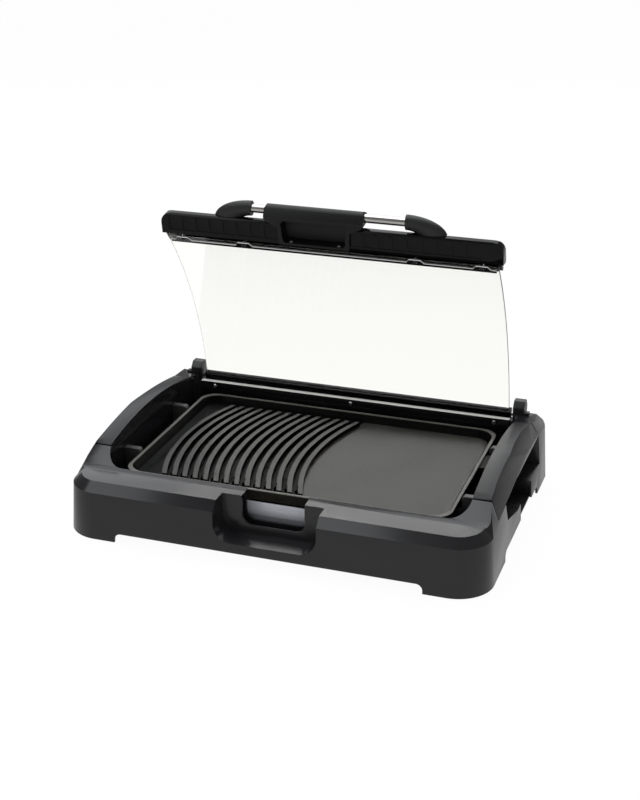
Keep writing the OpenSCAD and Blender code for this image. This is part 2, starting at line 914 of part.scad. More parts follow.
module terminal_pins() {
    color([0.75, 0.75, 0.77])
        for (s = [-1, 1])
            translate([block_x + block_length - 4, notch_y + s * pin_spacing / 2, terminal_z])
                rotate([0, 90, 0]) {
                    cylinder(h = 4 + terminal_reach - 1.4, r = 2.4, $fn = 32);
                    translate([0, 0, 4 + terminal_reach - 1.4 - touch])
                        cylinder(h = 1.4 + touch, r1 = 2.4, r2 = 1.2, $fn = 32);
                }
}

module sensor_tube() {
    color([0.66, 0.66, 0.68])
        translate([block_x + block_length - 6, notch_y, terminal_z])
            rotate([0, 90, 0])
                difference() {
                    cylinder(h = 6 + terminal_reach - 2, r = 3.6, $fn = 32);
                    translate([0, 0, 2])
                        cylinder(h = 6 + terminal_reach, r = 2.9, $fn = 32);
                }
}

// ---------- lid, drawn upright and turned to its open lean ----------

module in_lid() {
    translate([0, hinge_y, hinge_height])
        rotate([open_lean, 0, 0])
            children();
}

// at the front edge of the glass, on its outer face
module at_glass_end() {
    in_lid()
        translate([0, glass_face, glass_length])
            rotate([glass_end_angle, 0, 0])
                children();
}

// at the front edge of the glass, turned the way the trim and handle stand
module in_trim() {
    in_lid()
        translate([0, 0, glass_length])
            rotate([-handle_tilt, 0, 0])
                children();
}

// part of a big tube, o bigger all round
module glass_arc(o, x) {
    intersection() {
        translate([-x, glass_face - glass_rise, glass_mid])
            rotate([0, 90, 0])
                difference() {
                    cylinder(h = 2 * x, r = glass_radius + o, $fn = 360);
                    translate([0, 0, -over])
                        cylinder(h = 2 * x + 2 * over, r = glass_radius - glass_thickness - o, $fn = 360);
                }
        translate([-x, -20, glass_start - o])
            cube([2 * x, 80, glass_length - glass_start + 2 * o]);
    }
}

module lid_glass() {
    color([0.85, 0.87, 0.86, 0.3])
        difference() {
            in_lid()
                glass_arc(0, glass_half_width);
            at_glass_end()
                for (x = clip_x)
                    translate([x, 1.5 * glass_thickness, -clip_hole])
                        rotate([90, 0, 0])
                            cylinder(h = 3.5 * glass_thickness, r = 2.2, $fn = 32);
        }
}

module lid_rear_rail() {
    color([0.06, 0.06, 0.065])
        in_lid()
            difference() {
                translate([-rail_half_width, 0, 0])
                    rotate([90, 0, 90])
                        linear_extrude(2 * rail_half_width)
                            polygon([[-5, -4], [-3, -6.5], [3, -6.5], [5, -4], [6.2, rail_height - 1],
                                     [5.2, rail_height], [-4.2, rail_height], [-5.2, rail_height - 1]]);
                glass_arc(0.2, glass_half_width + 0.3);
                for (s = [-1, 1])
                    translate([s * (rail_half_width - 10), 0, 0])
                        rotate([0, 90, 0])
                            cylinder(h = 22, r = pin_radius, center = true, $fn = 48);
            }
}

module hinge_pins() {
    x0 = rail_half_width - 21;
    x1 = bracket_x + bracket_leg - 2;
    color([0.7, 0.7, 0.72])
        in_lid()
            for (s = [-1, 1])
                mirror([s < 0 ? 1 : 0, 0, 0])
                    translate([x0, 0, 0])
                        rotate([0, 90, 0])
                            cylinder(h = x1 - x0, r = pin_radius, $fn = 48);
}

// cross-section of the front trim, y back and z up
module trim_profile() {
    polygon([[-3, 1.5], [-3, trim_height - 2], [-1, trim_height], [trim_depth / 2, trim_height],
             [trim_depth - 4, trim_height - 3], [trim_depth, 2], [trim_depth - 2, -1]]);
}

module lid_front_trim() {
    color([0.05, 0.05, 0.055])
        difference() {
            union() {
                in_trim()
                    intersection() {
                        difference() {
                            translate([-trim_half_width, 0, 0])
                                rotate([90, 0, 90])
                                    linear_extrude(2 * trim_half_width)
                                        trim_profile();
                            trim_pockets();
                        }
                        rotate([90, 0, 0])
                            linear_extrude(80, center = true)
                                round_rect(trim_half_width, -20, trim_height, 15);
                    }
                at_glass_end()
                    translate([-trim_half_width + 3, 0.25, -14])
                        cube([2 * trim_half_width - 6, 4.5, 18]);
            }
            in_trim()
                grip_envelope(0.2);
            in_lid()
                glass_arc(0.2, glass_half_width + 0.3);
            at_glass_end()
                for (x = clip_x)
                    translate([x, 1.5 * glass_thickness, -clip_hole])
                        rotate([90, 0, 0])
                            cylinder(h = 3.5 * glass_thickness, r = 1.6, $fn = 32);
            in_trim()
                for (x = arm_screw_x) {
                    translate([x, arm_screw_y, trim_height - 5])
                        cylinder(h = 9, r = 1.6, $fn = 24);
                    translate([x, arm_screw_y, trim_height - 12])
                        cylinder(h = 8, r = 2.8, $fn = 32);
                }
        }
}

// hollows between the ribs on the inner side of the trim
module trim_pockets() {
    for (i = [0 : 21])
        translate([-trim_half_width + 12 + i * 20, -3 - over, 8])
            cube([18, over + 6, trim_height - 12]);
}

// side view of the middle grip, y back and z up, round over the tube
module grip_side(o) {
    r = grip_round + o;
    polygon(concat([[-4 - o, grip_bottom - o], [-4 - o, tube_rise - 4]],
                   [for (a = [140 : -10 : 0]) [tube_back + r * cos(a), tube_rise + r * sin(a)]],
                   [[tube_back + r, grip_bottom - o]]));
}

// space taken by the middle grip
module grip_envelope(o) {
    intersection() {
        translate([grip_x, -6 - o, 0])
            mirror([0, 1, 0])
                rotate([90, 0, 0])
                    linear_extrude(tube_back + 20)
                        grip_outline(o);
        translate([grip_x, 0, 0])
            rotate([90, 0, 90])
                linear_extrude(2 * grip_half_width + 4, center = true)
                    grip_side(o);
    }
}

module grip_outline(o) {
    top = tube_rise + grip_round + 1 + o;
    low = trim_height - 6 - o;
    shoulder = trim_height + 1 - o;
    wide = grip_half_width + o;
    polygon([[-grip_base - o, grip_bottom - o], [grip_base + o, grip_bottom - o], [grip_base + 1 + o, low],
             [wide - 4, shoulder], [wide, shoulder + 4], [wide, top - 4], [wide - 3, top],
             [-wide + 3, top], [-wide, top - 4], [-wide, shoulder + 4], [-wide + 4, shoulder],
             [-grip_base - 1 - o, low]]);
}

module handle_grip() {
    pocket_top = tube_rise - grip_round - 0.5;
    color([0.09, 0.09, 0.09])
        in_trim()
            difference() {
                grip_envelope(0);
                translate([grip_x, -5, 0])
                    mirror([0, 1, 0])
                        rotate([90, 0, 0])
                            linear_extrude(tube_back + 10)
                                polygon([[-pocket_half_width + 3, grip_floor], [pocket_half_width - 3, grip_floor],
                                         [pocket_half_width, grip_floor + 3],
                                         [pocket_half_width + 2, pocket_top - 4],
                                         [pocket_half_width - 2, pocket_top], [-pocket_half_width + 2, pocket_top],
                                         [-pocket_half_width - 2, pocket_top - 4],
                                         [-pocket_half_width, grip_floor + 3]]);
                translate([grip_x - grip_half_width - over, tube_back, tube_rise])
                    rotate([0, 90, 0])
                        cylinder(h = 2 * grip_half_width + 2 * over, r = tube_radius, $fn = 64);
                for (s = [-1, 1])
                    translate([grip_x + s * 34, 2, 0])
                        cylinder(h = grip_floor + over, r = 1.6, $fn = 24);
            }
}

module grip_screws() {
    color([0.55, 0.56, 0.58])
        in_trim()
            for (s = [-1, 1])
                translate([grip_x + s * 34, 2, grip_floor])
                    screw(3, 1.6, 1.55, grip_floor - grip_bottom - 0.3);
}

module handle_tube() {
    color([0.78, 0.78, 0.8])
        in_trim()
            translate([-tube_half_length - tube_seat + over, tube_back, tube_rise])
                rotate([0, 90, 0])
                    difference() {
                        cylinder(h = 2 * (tube_half_length + tube_seat - over), r = tube_radius, $fn = 64);
                        translate([0, 0, -over])
                            cylinder(h = 2 * (tube_half_length + tube_seat), r = tube_radius - 1.2, $fn = 64);
                    }
}

// curved arm that turns from the trim to the end of the tube
module handle_arm(s) {
    x0 = tube_half_length;
    z0 = trim_height;
    reach = 56;
    inside = 16;
    half_tip = 10.5;
    steps = 16;
    outer = [for (i = [0 : steps]) let (a = 90 * i / steps)
             [x0 + reach * cos(a), z0 + (tube_rise + half_tip - z0) * sin(a)]];
    inner = [for (i = [steps : -1 : 0]) let (a = 90 * i / steps)
             [x0 + inside * cos(a), z0 + (tube_rise - half_tip - z0) * sin(a)]];
    color([0.08, 0.08, 0.08])
        in_trim()
            mirror([s < 0 ? 1 : 0, 0, 0])
                difference() {
                    translate([0, tube_back - 9, 0])
                        mirror([0, 1, 0])
                            rotate([90, 0, 0])
                                linear_extrude(18)
                                    polygon(concat(outer, inner));
                    translate([x0 - over, tube_back, tube_rise])
                        rotate([0, 90, 0])
                            cylinder(h = tube_seat + over, r = tube_radius + touch, $fn = 64);
                    for (x = [arm_screw_x[2], arm_screw_x[3]])
                        translate([x, arm_screw_y, z0 - over])
                            cylinder(h = 8, r = 1.5, $fn = 24);
                }
}

module arm_screws() {
    color([0.55, 0.56, 0.58])
        in_trim()
            for (x = arm_screw_x)
                translate([x, arm_screw_y, trim_height - 4])
                    mirror([0, 0, 1])
                        screw(2.4, 1.5, 1.45, 8);
}

// strip with four lugs that clamps the glass to the trim
module glass_clamp() {
    half = glass_half_width - 3;
    lugs = [for (x = [clip_x[3], clip_x[2], clip_x[1], clip_x[0]])
            each [[x + 12, clamp_top], [x + 8, clamp_lug], [x - 8, clamp_lug], [x - 12, clamp_top]]];
    color([0.08, 0.08, 0.085])
        at_glass_end()
            difference() {
                translate([0, -glass_thickness - clip_gap, 0])
                    rotate([90, 0, 0])
                        linear_extrude(1.2)
                            polygon(concat([[-half, clamp_low], [half, clamp_low], [half, clamp_top]],
                                           lugs, [[-half, clamp_top]]));
                for (x = clip_x)
                    translate([x, 0, -clip_hole])
                        rotate([90, 0, 0])
                            cylinder(h = 8, r = 1.6, $fn = 24);
            }
}

module trim_screws() {
    color([0.62, 0.63, 0.65])
        at_glass_end()
            for (x = clip_x)
                translate([x, -glass_thickness - clip_gap - 1.2, -clip_hole])
                    rotate([90, 0, 0])
                        screw(3.3, 1.7, 1.55, glass_thickness + 5);
}

base_shell();
base_floor();
side_cover(-1);  // side_cover_left
side_cover(1);  // side_cover_right
rear_guard();
rear_guard_screws();
hinge_bracket(-1);  // hinge_bracket_left
hinge_bracket(1);  // hinge_bracket_right
bracket_screws();
plate_supports();
inlet_shroud();
inlet_screws();
foot_pads();
floor_screws();
drip_tray();
grill_plate();
heating_element();
element_clips();
clip_screws();
terminal_block();
terminal_pins();
sensor_tube();
lid_glass();
lid_front_trim();
lid_rear_rail();
hinge_pins();
glass_clamp();
trim_screws();
handle_tube();
handle_arm(-1);  // handle_arm_left
handle_arm(1);  // handle_arm_right
arm_screws();
handle_grip();
grip_screws();
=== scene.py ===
# A table-top electric grill with a curved glass lid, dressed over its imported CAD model.
import math

import bpy
from mathutils import Matrix, Vector


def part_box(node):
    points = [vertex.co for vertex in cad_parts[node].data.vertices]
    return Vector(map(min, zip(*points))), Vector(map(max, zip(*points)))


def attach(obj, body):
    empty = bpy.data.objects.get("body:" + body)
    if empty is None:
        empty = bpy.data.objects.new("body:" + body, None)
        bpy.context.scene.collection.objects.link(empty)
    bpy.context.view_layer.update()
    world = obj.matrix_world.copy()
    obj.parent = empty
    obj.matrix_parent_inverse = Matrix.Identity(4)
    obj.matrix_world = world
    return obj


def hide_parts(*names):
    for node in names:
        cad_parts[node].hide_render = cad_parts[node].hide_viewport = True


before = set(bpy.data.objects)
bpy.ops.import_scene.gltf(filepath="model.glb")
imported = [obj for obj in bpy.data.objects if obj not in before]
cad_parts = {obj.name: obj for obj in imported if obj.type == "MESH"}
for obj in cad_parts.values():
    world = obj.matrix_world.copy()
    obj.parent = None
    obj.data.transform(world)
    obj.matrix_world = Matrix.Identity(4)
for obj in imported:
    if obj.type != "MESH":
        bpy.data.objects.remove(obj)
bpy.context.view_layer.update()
mm = 0.001
upwards = (0, 0, 1)


# an sRGB hex colour made linear for a shader
def hexColour(text):
    parts = [int(text[i:i + 2], 16) / 255 for i in (1, 3, 5)]
    linear = [p / 12.92 if p <= 0.04045 else ((p + 0.055) / 1.055) ** 2.4 for p in parts]
    return (*linear, 1)


def deselectAll():
    if bpy.context.object and bpy.context.object.mode != "OBJECT":
        bpy.ops.object.mode_set(mode="OBJECT")
    bpy.ops.object.select_all(action="DESELECT")


# fills a node's inputs: each gets a number, a hex colour or the socket that drives it
def feed(tree, node, inputs):
    for key, value in inputs.items():
        if isinstance(value, bpy.types.NodeSocket):
            tree.links.new(value, node.inputs[key])
        elif isinstance(value, str):
            node.inputs[key].default_value = hexColour(value)
        else:
            node.inputs[key].default_value = value


def addNode(tree, kind, inputs=None, **fields):
    node = tree.nodes.new(kind)
    for field, value in fields.items():
        setattr(node, field, value)
    feed(tree, node, inputs or {})
    return node


def newMaterial(name):
    material = bpy.data.materials.new(name)
    material.use_nodes = True
    return material, material.node_tree, material.node_tree.nodes["Principled BSDF"]


noiseSpan = {"From Min": 0.15, "From Max": 0.85}    # the noise seldom leaves this part of 0 to 1


# noise over the object whose grains are about size metres across
def grain(tree, size, stretch=(1, 1, 1), detail=2.0):
    place = addNode(tree, "ShaderNodeTexCoord").outputs["Object"]
    turned = addNode(tree, "ShaderNodeMapping", {"Vector": place, "Scale": stretch}).outputs["Vector"]
    noise = addNode(tree, "ShaderNodeTexNoise", {"Vector": turned, "Scale": 1 / size, "Detail": detail})
    return noise.outputs["Fac"]


# 0 on faces turned away from a direction, 1 on faces turned to it; start and end are cosines
def facing(tree, direction, start=0.75, end=0.9):
    normal = addNode(tree, "ShaderNodeTexCoord").outputs["Normal"]
    dot = addNode(tree, "ShaderNodeVectorMath", {0: normal, 1: direction}, operation="DOT_PRODUCT")
    share = addNode(tree, "ShaderNodeMapRange", {
        "Value": dot.outputs["Value"], "From Min": start, "From Max": end})
    return share.outputs["Result"]


# 0 at the start and 1 at the end of a stretch along one axis of the grill
def alongAxis(tree, axis, start, end):
    place = addNode(tree, "ShaderNodeTexCoord").outputs["Object"]
    along = addNode(tree, "ShaderNodeSeparateXYZ", {0: place}).outputs[axis]
    share = addNode(tree, "ShaderNodeMapRange", {"Value": along, "From Min": start, "From Max": end})
    return share.outputs["Result"]


# 1 on two seams that cross the grill, 0 elsewhere
def nearSeams(tree, depths, width):
    place = addNode(tree, "ShaderNodeTexCoord").outputs["Object"]
    depth = addNode(tree, "ShaderNodeSeparateXYZ", {0: place}).outputs["Y"]
    front, rear = [addNode(tree, "ShaderNodeMath", {0: depth, 1: seam, 2: width}, operation="COMPARE")
                   for seam in depths]
    return addNode(tree, "ShaderNodeMath", {0: front.outputs[0], 1: rear.outputs[0]},
                   operation="MAXIMUM").outputs[0]


# patch: width of the broad patches that keep a big moulding from looking flat, and how much duller
# and glossier they are; edgeLine: how softly the painted highlight, a pale line at a top edge, begins
mould = {"patch": 90 * mm, "patchRough": 0.03, "grainDepth": 0.1 * mm, "edgeLine": 0.2 * mm}


# injection moulded plastic and rubber: the spark-eroded grain of the mould breaks the highlight up; a
# real grain is a few tenths of a millimetre wide, and each is drawn coarser, so that it shows
def moulded(name, look):
    material, tree, shader = newMaterial(name)
    patches = grain(tree, mould["patch"])
    colour = addNode(tree, "ShaderNodeMix", {0: patches, 6: look["dark"], 7: look["light"]},
                     data_type="RGBA").outputs[2]
    # painted highlight: a pale line painted along the top edge, on the faces turned up, where light would
    # catch it
    if "paintedHighlightTop" in look:
        top = alongAxis(tree, "Z", look["paintedHighlightTop"] - mould["edgeLine"], look["paintedHighlightTop"])
        paintedHighlightLine = addNode(tree, "ShaderNodeMath", {0: facing(tree, upwards, *look["paintedHighlightFaces"]), 1: top},
                       operation="MULTIPLY").outputs[0]
        colour = addNode(tree, "ShaderNodeMix", {0: paintedHighlightLine, 6: colour, 7: look["paintedHighlight"]},
                         data_type="RGBA").outputs[2]
    if "seams" in look:
        # painted shadow in the seams: a near-black band with less specular over each seam
        seam = nearSeams(tree, look["seams"], look["seamWidth"])
        colour = addNode(tree, "ShaderNodeMix", {0: seam, 6: colour, 7: look["seamPaintedShadow"]},
                         data_type="RGBA").outputs[2]
        shine = addNode(tree, "ShaderNodeMapRange", {
            "Value": seam, "To Min": look["seamShine"][0], "To Max": look["seamShine"][1]})
        feed(tree, shader, {"Specular IOR Level": shine.outputs["Result"]})
    rough = addNode(tree, "ShaderNodeMapRange", {
        **noiseSpan, "Value": patches,
        "To Min": look["rough"] - mould["patchRough"], "To Max": look["rough"] + mould["patchRough"]})
    bump = addNode(tree, "ShaderNodeBump", {
        "Height": grain(tree, look["grain"]), "Strength": look["bump"], "Distance": mould["grainDepth"]})
    feed(tree, shader, {"Base Color": colour, "IOR": look["ior"],
                        "Roughness": rough.outputs["Result"], "Normal": bump.outputs["Normal"]})
    return material


# satin black polypropylene: glossy enough for the ledge to mirror the softbox with a soft edge
housingLook = {"dark": "#151517", "light": "#19191b",
               "rough": 0.2, "grain": 0.9 * mm, "bump": 0.14, "ior": 1.5}
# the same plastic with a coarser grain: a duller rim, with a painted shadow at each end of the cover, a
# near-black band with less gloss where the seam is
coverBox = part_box("side_cover_left")
coverLook = {"dark": "#131314", "light": "#181819",
             "rough": 0.33, "grain": 1.1 * mm, "bump": 0.3, "ior": 1.35,
             "seams": (coverBox[0][1], coverBox[1][1]), "seamWidth": 1.0 * mm,
             "seamPaintedShadow": "#020202", "seamShine": (0.5, 0)}
# unpolished inner floor: matt and dark
floorLook = {"dark": "#141415", "light": "#19191a",
             "rough": 0.5, "grain": 1.2 * mm, "bump": 0.3, "ior": 1.5}
# gloss ABS in the shade of the lid: nearly black, with a painted highlight: a pale line painted along its top
# edge
guardLook = {"dark": "#0b0b0c", "light": "#0f0f10",
             "rough": 0.22, "grain": 1.5 * mm, "bump": 0.05, "ior": 1.36,
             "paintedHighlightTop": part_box("rear_guard")[1][2] - 1.0 * mm, "paintedHighlight": "#cfcfcc",
             "paintedHighlightFaces": (0.5, 0.7)}
# polished ABS: deep black with sharp, faint reflections
trimLook = {"dark": "#090909", "light": "#0c0c0d",
            "rough": 0.12, "grain": 2.5 * mm, "bump": 0.03, "ior": 1.26}
# fine-grained nylon: dull black that shows no fingerprints
gripLook = {"dark": "#0b0b0a", "light": "#10100f",
            "rough": 0.45, "grain": 0.8 * mm, "bump": 0.25, "ior": 1.4}
# soft-touch elastomer: a shade lighter than the grip, with a broad sheen
armLook = {"dark": "#171716", "light": "#1d1d1c",
           "rough": 0.5, "grain": 0.8 * mm, "bump": 0.3, "ior": 1.5}
# phenolic resin: matt black with a hard, faint sheen
phenolicLook = {"dark": "#0f0e0d", "light": "#151413",
                "rough": 0.4, "grain": 0.8 * mm, "bump": 0.25, "ior": 1.6}
# heat-proof nylon: dark grey, lighter than the housing round it
supportLook = {"dark": "#242424", "light": "#2e2e2d",
               "rough": 0.42, "grain": 0.9 * mm, "bump": 0.2, "ior": 1.5}
# rubber: dull and soft at the edges
padLook = {"dark": "#121212", "light": "#1a1a1a",
           "rough": 0.75, "grain": 0.7 * mm, "bump": 0.4, "ior": 1.5}
# glazed steatite, fired dark: it stays in the shade of the plate
ceramicLook = {"dark": "#100e0d", "light": "#161311",
               "rough": 0.6, "grain": 0.6 * mm, "bump": 0.3, "ior": 1.25}

housingPlastic = moulded("moulded polypropylene, satin black", housingLook)
coverPlastic = moulded("moulded polypropylene, satin black rim", coverLook)
floorPlastic = moulded("moulded polypropylene, matt black floor", floorLook)
guardPlastic = moulded("moulded ABS, gloss black guard", guardLook)
trimPlastic = moulded("moulded ABS, gloss black trim", trimLook)
gripNylon = moulded("moulded nylon, fine-grained black", gripLook)
armRubber = moulded("soft-touch elastomer over nylon", armLook)
phenolicPlastic = moulded("moulded phenolic, matt black", phenolicLook)
supportPlastic = moulded("moulded heat-proof nylon, grey", supportLook)
padRubber = moulded("foot rubber", padLook)
ceramicBlock = moulded("dark glazed steatite ceramic", ceramicLook)


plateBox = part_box("grill_plate")
plate = {
    "ribInset": (18.9 * mm, 23.9 * mm),    # front and rear edge of the plate to the ends of the ribs
    "ribRadius": 330 * mm, "ribBlend": 0.5 * mm,
    "lastRibEnd": 22 * mm,                 # right of the middle of the plate
    "floorZ": 66 * mm, "ribTopZ": 72 * mm,
    "widerRib": 1.1 * mm,                  # each side of a rib stands out by this much more than in the solid
    "ribZone": 30 * mm,                    # no rib comes this close to the left or right edge
    "upright": (0.2, 0.8),                 # most that a rib's side faces up, least that it faces sideways
}
ribFront = plateBox[0][1] + plate["ribInset"][0]
ribRear = plateBox[1][1] - plate["ribInset"][1]


# 1 left of the last rib, 0 right of it; the ribs are arcs round a middle far to the right
def leftOfRib(tree):
    reach = math.sqrt(plate["ribRadius"] ** 2 - ((ribRear - ribFront) / 2) ** 2)
    middle = (plate["lastRibEnd"] + reach, (ribFront + ribRear) / 2, 0)
    place = addNode(tree, "ShaderNodeTexCoord").outputs["Object"]
    level = addNode(tree, "ShaderNodeVectorMath", {0: place, 1: (1, 1, 0)}, operation="MULTIPLY").outputs[0]
    away = addNode(tree, "ShaderNodeVectorMath", {0: level, 1: middle}, operation="DISTANCE").outputs["Value"]
    share = addNode(tree, "ShaderNodeMapRange", {
        "Value": away, "From Min": plate["ribRadius"] - plate["ribBlend"], "From Max": plate["ribRadius"]})
    return share.outputs["Result"]


# sprayed PTFE coat on an aluminium casting: warm dark grey with fine specks and a soft sheen; painted
# shade makes it near-black down in the grooves and on the inner walls, and a painted highlight makes the
# top of the rim pale; real specks are under 1 mm, and are drawn coarser so that they show
def nonStickCoat():
    look = {"ground": "#1d1c18", "speck": "#2a2823", "paintedShade": "#060606", "rim": "#55534f",
            "speckSize": 2.6 * mm, "speckSpan": (0.35, 0.8), "patch": 70 * mm, "orangePeel": 5 * mm,
            "rough": (0.33, 0.36), "bump": 0.06, "peelDepth": 0.1 * mm, "ior": 1.29,
            "shine": (0.5, 0.06),                          # on the rest of the coat, and under the painted shade
            "wallFaces": (0.55, 0.9),                      # cosines at which a face turns from wall to top
            "grooveTop": 1.2 * mm, "grooveFade": 1 * mm,   # below the tops of the ribs
            "rimLine": 0.4 * mm, "rimFade": 0.5 * mm,      # below the top of the rim
            "unshadedFront": 6 * mm, "frontFade": 1 * mm}     # depth of the outer front wall, which gets no painted shade
    material, tree, shader = newMaterial("die-cast aluminium with PTFE non-stick coat")
    grooveZ = plate["ribTopZ"] - look["grooveTop"]
    rimZ = plateBox[1][2] - look["rimLine"]
    frontY = plateBox[0][1] + look["unshadedFront"]
    # painted shade: the grooves left of the last rib and the faces turned sideways go near-black with less
    # specular, except on the outer front wall
    low = alongAxis(tree, "Z", grooveZ, grooveZ - look["grooveFade"])
    inside = alongAxis(tree, "Y", frontY - look["frontFade"], frontY)
    rim = alongAxis(tree, "Z", rimZ - look["rimFade"], rimZ)
    groove = addNode(tree, "ShaderNodeMath", {0: low, 1: leftOfRib(tree)}, operation="MULTIPLY").outputs[0]
    wall = addNode(tree, "ShaderNodeMath", {0: 1.0, 1: facing(tree, upwards, *look["wallFaces"])},
                   operation="SUBTRACT").outputs[0]
    dark = addNode(tree, "ShaderNodeMath", {0: groove, 1: wall}, operation="MAXIMUM").outputs[0]
    dark = addNode(tree, "ShaderNodeMath", {0: dark, 1: inside}, operation="MULTIPLY").outputs[0]
    specks = addNode(tree, "ShaderNodeMapRange", {
        "Value": grain(tree, look["speckSize"], detail=1),
        "From Min": look["speckSpan"][0], "From Max": look["speckSpan"][1]}).outputs["Result"]
    colour = addNode(tree, "ShaderNodeMix", {0: specks, 6: look["ground"], 7: look["speck"]},
                     data_type="RGBA").outputs[2]
    colour = addNode(tree, "ShaderNodeMix", {0: dark, 6: colour, 7: look["paintedShade"]},
                     data_type="RGBA").outputs[2]
    # painted highlight: a pale line along the top of the rim
    colour = addNode(tree, "ShaderNodeMix", {0: rim, 6: colour, 7: look["rim"]},
                     data_type="RGBA").outputs[2]
    shine = addNode(tree, "ShaderNodeMapRange", {
        "Value": dark, "To Min": look["shine"][0], "To Max": look["shine"][1]})
    rough = addNode(tree, "ShaderNodeMapRange", {
        **noiseSpan, "Value": grain(tree, look["patch"]),
        "To Min": look["rough"][0], "To Max": look["rough"][1]})
    bump = addNode(tree, "ShaderNodeBump", {
        "Height": grain(tree, look["orangePeel"]), "Strength": look["bump"], "Distance": look["peelDepth"]})
    feed(tree, shader, {"Base Color": colour, "IOR": look["ior"],
                        "Specular IOR Level": shine.outputs["Result"],
                        "Roughness": rough.outputs["Result"], "Normal": bump.outputs["Normal"]})
    return material


# the scratches of a metal: their depth, and how much smoother and rougher they make it
scratch = {"depth": 0.05 * mm, "smoother": 0.05, "rougher": 0.07, "detail": 3}


# rolled, drawn or plated metal: the grain runs along the axis with the small stretch; real marks are
# finer than a hair, and are drawn about 1 mm wide so that they show
def metal(name, look):
    material, tree, shader = newMaterial(name)
    marks = grain(tree, look["grain"], look["stretch"], scratch["detail"])
    colour = addNode(tree, "ShaderNodeMix", {0: marks, 6: look["dark"], 7: look["light"]}, data_type="RGBA")
    rough = addNode(tree, "ShaderNodeMapRange", {
        **noiseSpan, "Value": marks,
        "To Min": look["rough"] - scratch["smoother"], "To Max": look["rough"] + scratch["rougher"]})
    bump = addNode(tree, "ShaderNodeBump", {
        "Height": marks, "Strength": look["bump"], "Distance": scratch["depth"]})
    feed(tree, shader, {"Base Color": colour.outputs[2], "Metallic": look["metallic"],
                        "Roughness": rough.outputs["Result"], "Normal": bump.outputs["Normal"]})
    return material


# polished stainless tube: bright, with hair lines along it
tubeLook = {"dark": "#b5b2ae", "light": "#d8d6d3", "metallic": 1.0,
            "rough": 0.14, "grain": 1.2 * mm, "stretch": (0.05, 1, 1), "bump": 0.1}
# nickel plate: small bright heads
screwLook = {"dark": "#8f8f91", "light": "#bcbcbe", "metallic": 1.0,
             "rough": 0.26, "grain": 0.8 * mm, "stretch": (1, 1, 1), "bump": 0.15}
# black oxide: heads that only glint
darkScrewLook = {"dark": "#3a3a3b", "light": "#6a6a6c", "metallic": 1.0,
                 "rough": 0.3, "grain": 0.8 * mm, "stretch": (1, 1, 1), "bump": 0.15}
# zinc plate: cool grey, a little dull
clipLook = {"dark": "#8e9094", "light": "#b9bbbf", "metallic": 1.0,
            "rough": 0.28, "grain": 1.0 * mm, "stretch": (0.2, 1, 1), "bump": 0.12}
# rolled sheet with its aluminium skin oxidised: pale and chalky, so it scatters more than it mirrors
trayLook = {"dark": "#b4b8c0", "light": "#d6d9e0", "metallic": 0.3,
            "rough": 0.42, "grain": 1.6 * mm, "stretch": (0.15, 1, 1), "bump": 0.15}
# sheath blued and browned by heat
sheathLook = {"dark": "#3a3531", "light": "#57504a", "metallic": 1.0,
              "rough": 0.5, "grain": 1.0 * mm, "stretch": (1, 1, 1), "bump": 0.3}
# nickel-plated pins: smooth and bright
pinLook = {"dark": "#bdbdbf", "light": "#dcdcde", "metallic": 1.0,
           "rough": 0.14, "grain": 1.0 * mm, "stretch": (0.1, 1, 1), "bump": 0.05}

castCoat = nonStickCoat()
tubeSteel = metal("drawn stainless steel, polished", tubeLook)
screwSteel = metal("nickel-plated screw steel", screwLook)
darkScrewSteel = metal("black-oxide screw steel", darkScrewLook)
clipSteel = metal("spring steel, zinc plated", clipLook)
trayMetal = metal("aluminised steel sheet", trayLook)
sheathSteel = metal("heater sheath, heat darkened", sheathLook)
pinSteel = metal("nickel-plated brass pins", pinLook)


# bent tempered float glass: clear with a trace of warmth, its ground side edges grey
def temperedGlass():
    look = {"tint": "#fefefa", "edge": "#8f9592", "edgeRough": 0.35, "ior": 1.45}
    material, tree, shader = newMaterial("tempered float glass")
    edge = addNode(tree, "ShaderNodeMath", {0: facing(tree, (-1, 0, 0)), 1: facing(tree, (1, 0, 0))},
                   operation="MAXIMUM").outputs[0]
    colour = addNode(tree, "ShaderNodeMix", {0: edge, 6: look["tint"], 7: look["edge"]}, data_type="RGBA")
    rough = addNode(tree, "ShaderNodeMapRange", {"Value": edge, "To Max": look["edgeRough"]})
    feed(tree, shader, {"Base Color": colour.outputs[2], "Roughness": rough.outputs["Result"],
                        "IOR": look["ior"], "Transmission Weight": 1.0})
    return material


# stamped steel strip enamelled black, with a painted highlight: near-white colour on its sheared upper edge
def clampSteel():
    look = {"dark": "#0b0b0c", "light": "#101011", "edge": "#f0f0ee",
            "edgeWay": (0, -0.44, 0.9), "edgeFaces": (0.3, 0.45),
            "grain": 1.5 * mm, "stretch": (0.2, 1, 1), "rough": (0.18, 0.26)}
    material, tree, shader = newMaterial("stamped steel strip, black enamel")
    brush = grain(tree, look["grain"], look["stretch"])
    colour = addNode(tree, "ShaderNodeMix", {0: brush, 6: look["dark"], 7: look["light"]},
                     data_type="RGBA").outputs[2]
    # painted highlight on the faces of the upper edge, which turn up and forward
    edgeHighlight = facing(tree, look["edgeWay"], *look["edgeFaces"])
    colour = addNode(tree, "ShaderNodeMix", {0: edgeHighlight, 6: colour, 7: look["edge"]},
                     data_type="RGBA").outputs[2]
    rough = addNode(tree, "ShaderNodeMapRange", {
        **noiseSpan, "Value": brush, "To Min": look["rough"][0], "To Max": look["rough"][1]})
    feed(tree, shader, {"Base Color": colour, "Roughness": rough.outputs["Result"]})
    return material


lidGlass = temperedGlass()
clampStrip = clampSteel()
print("stage: materials made")

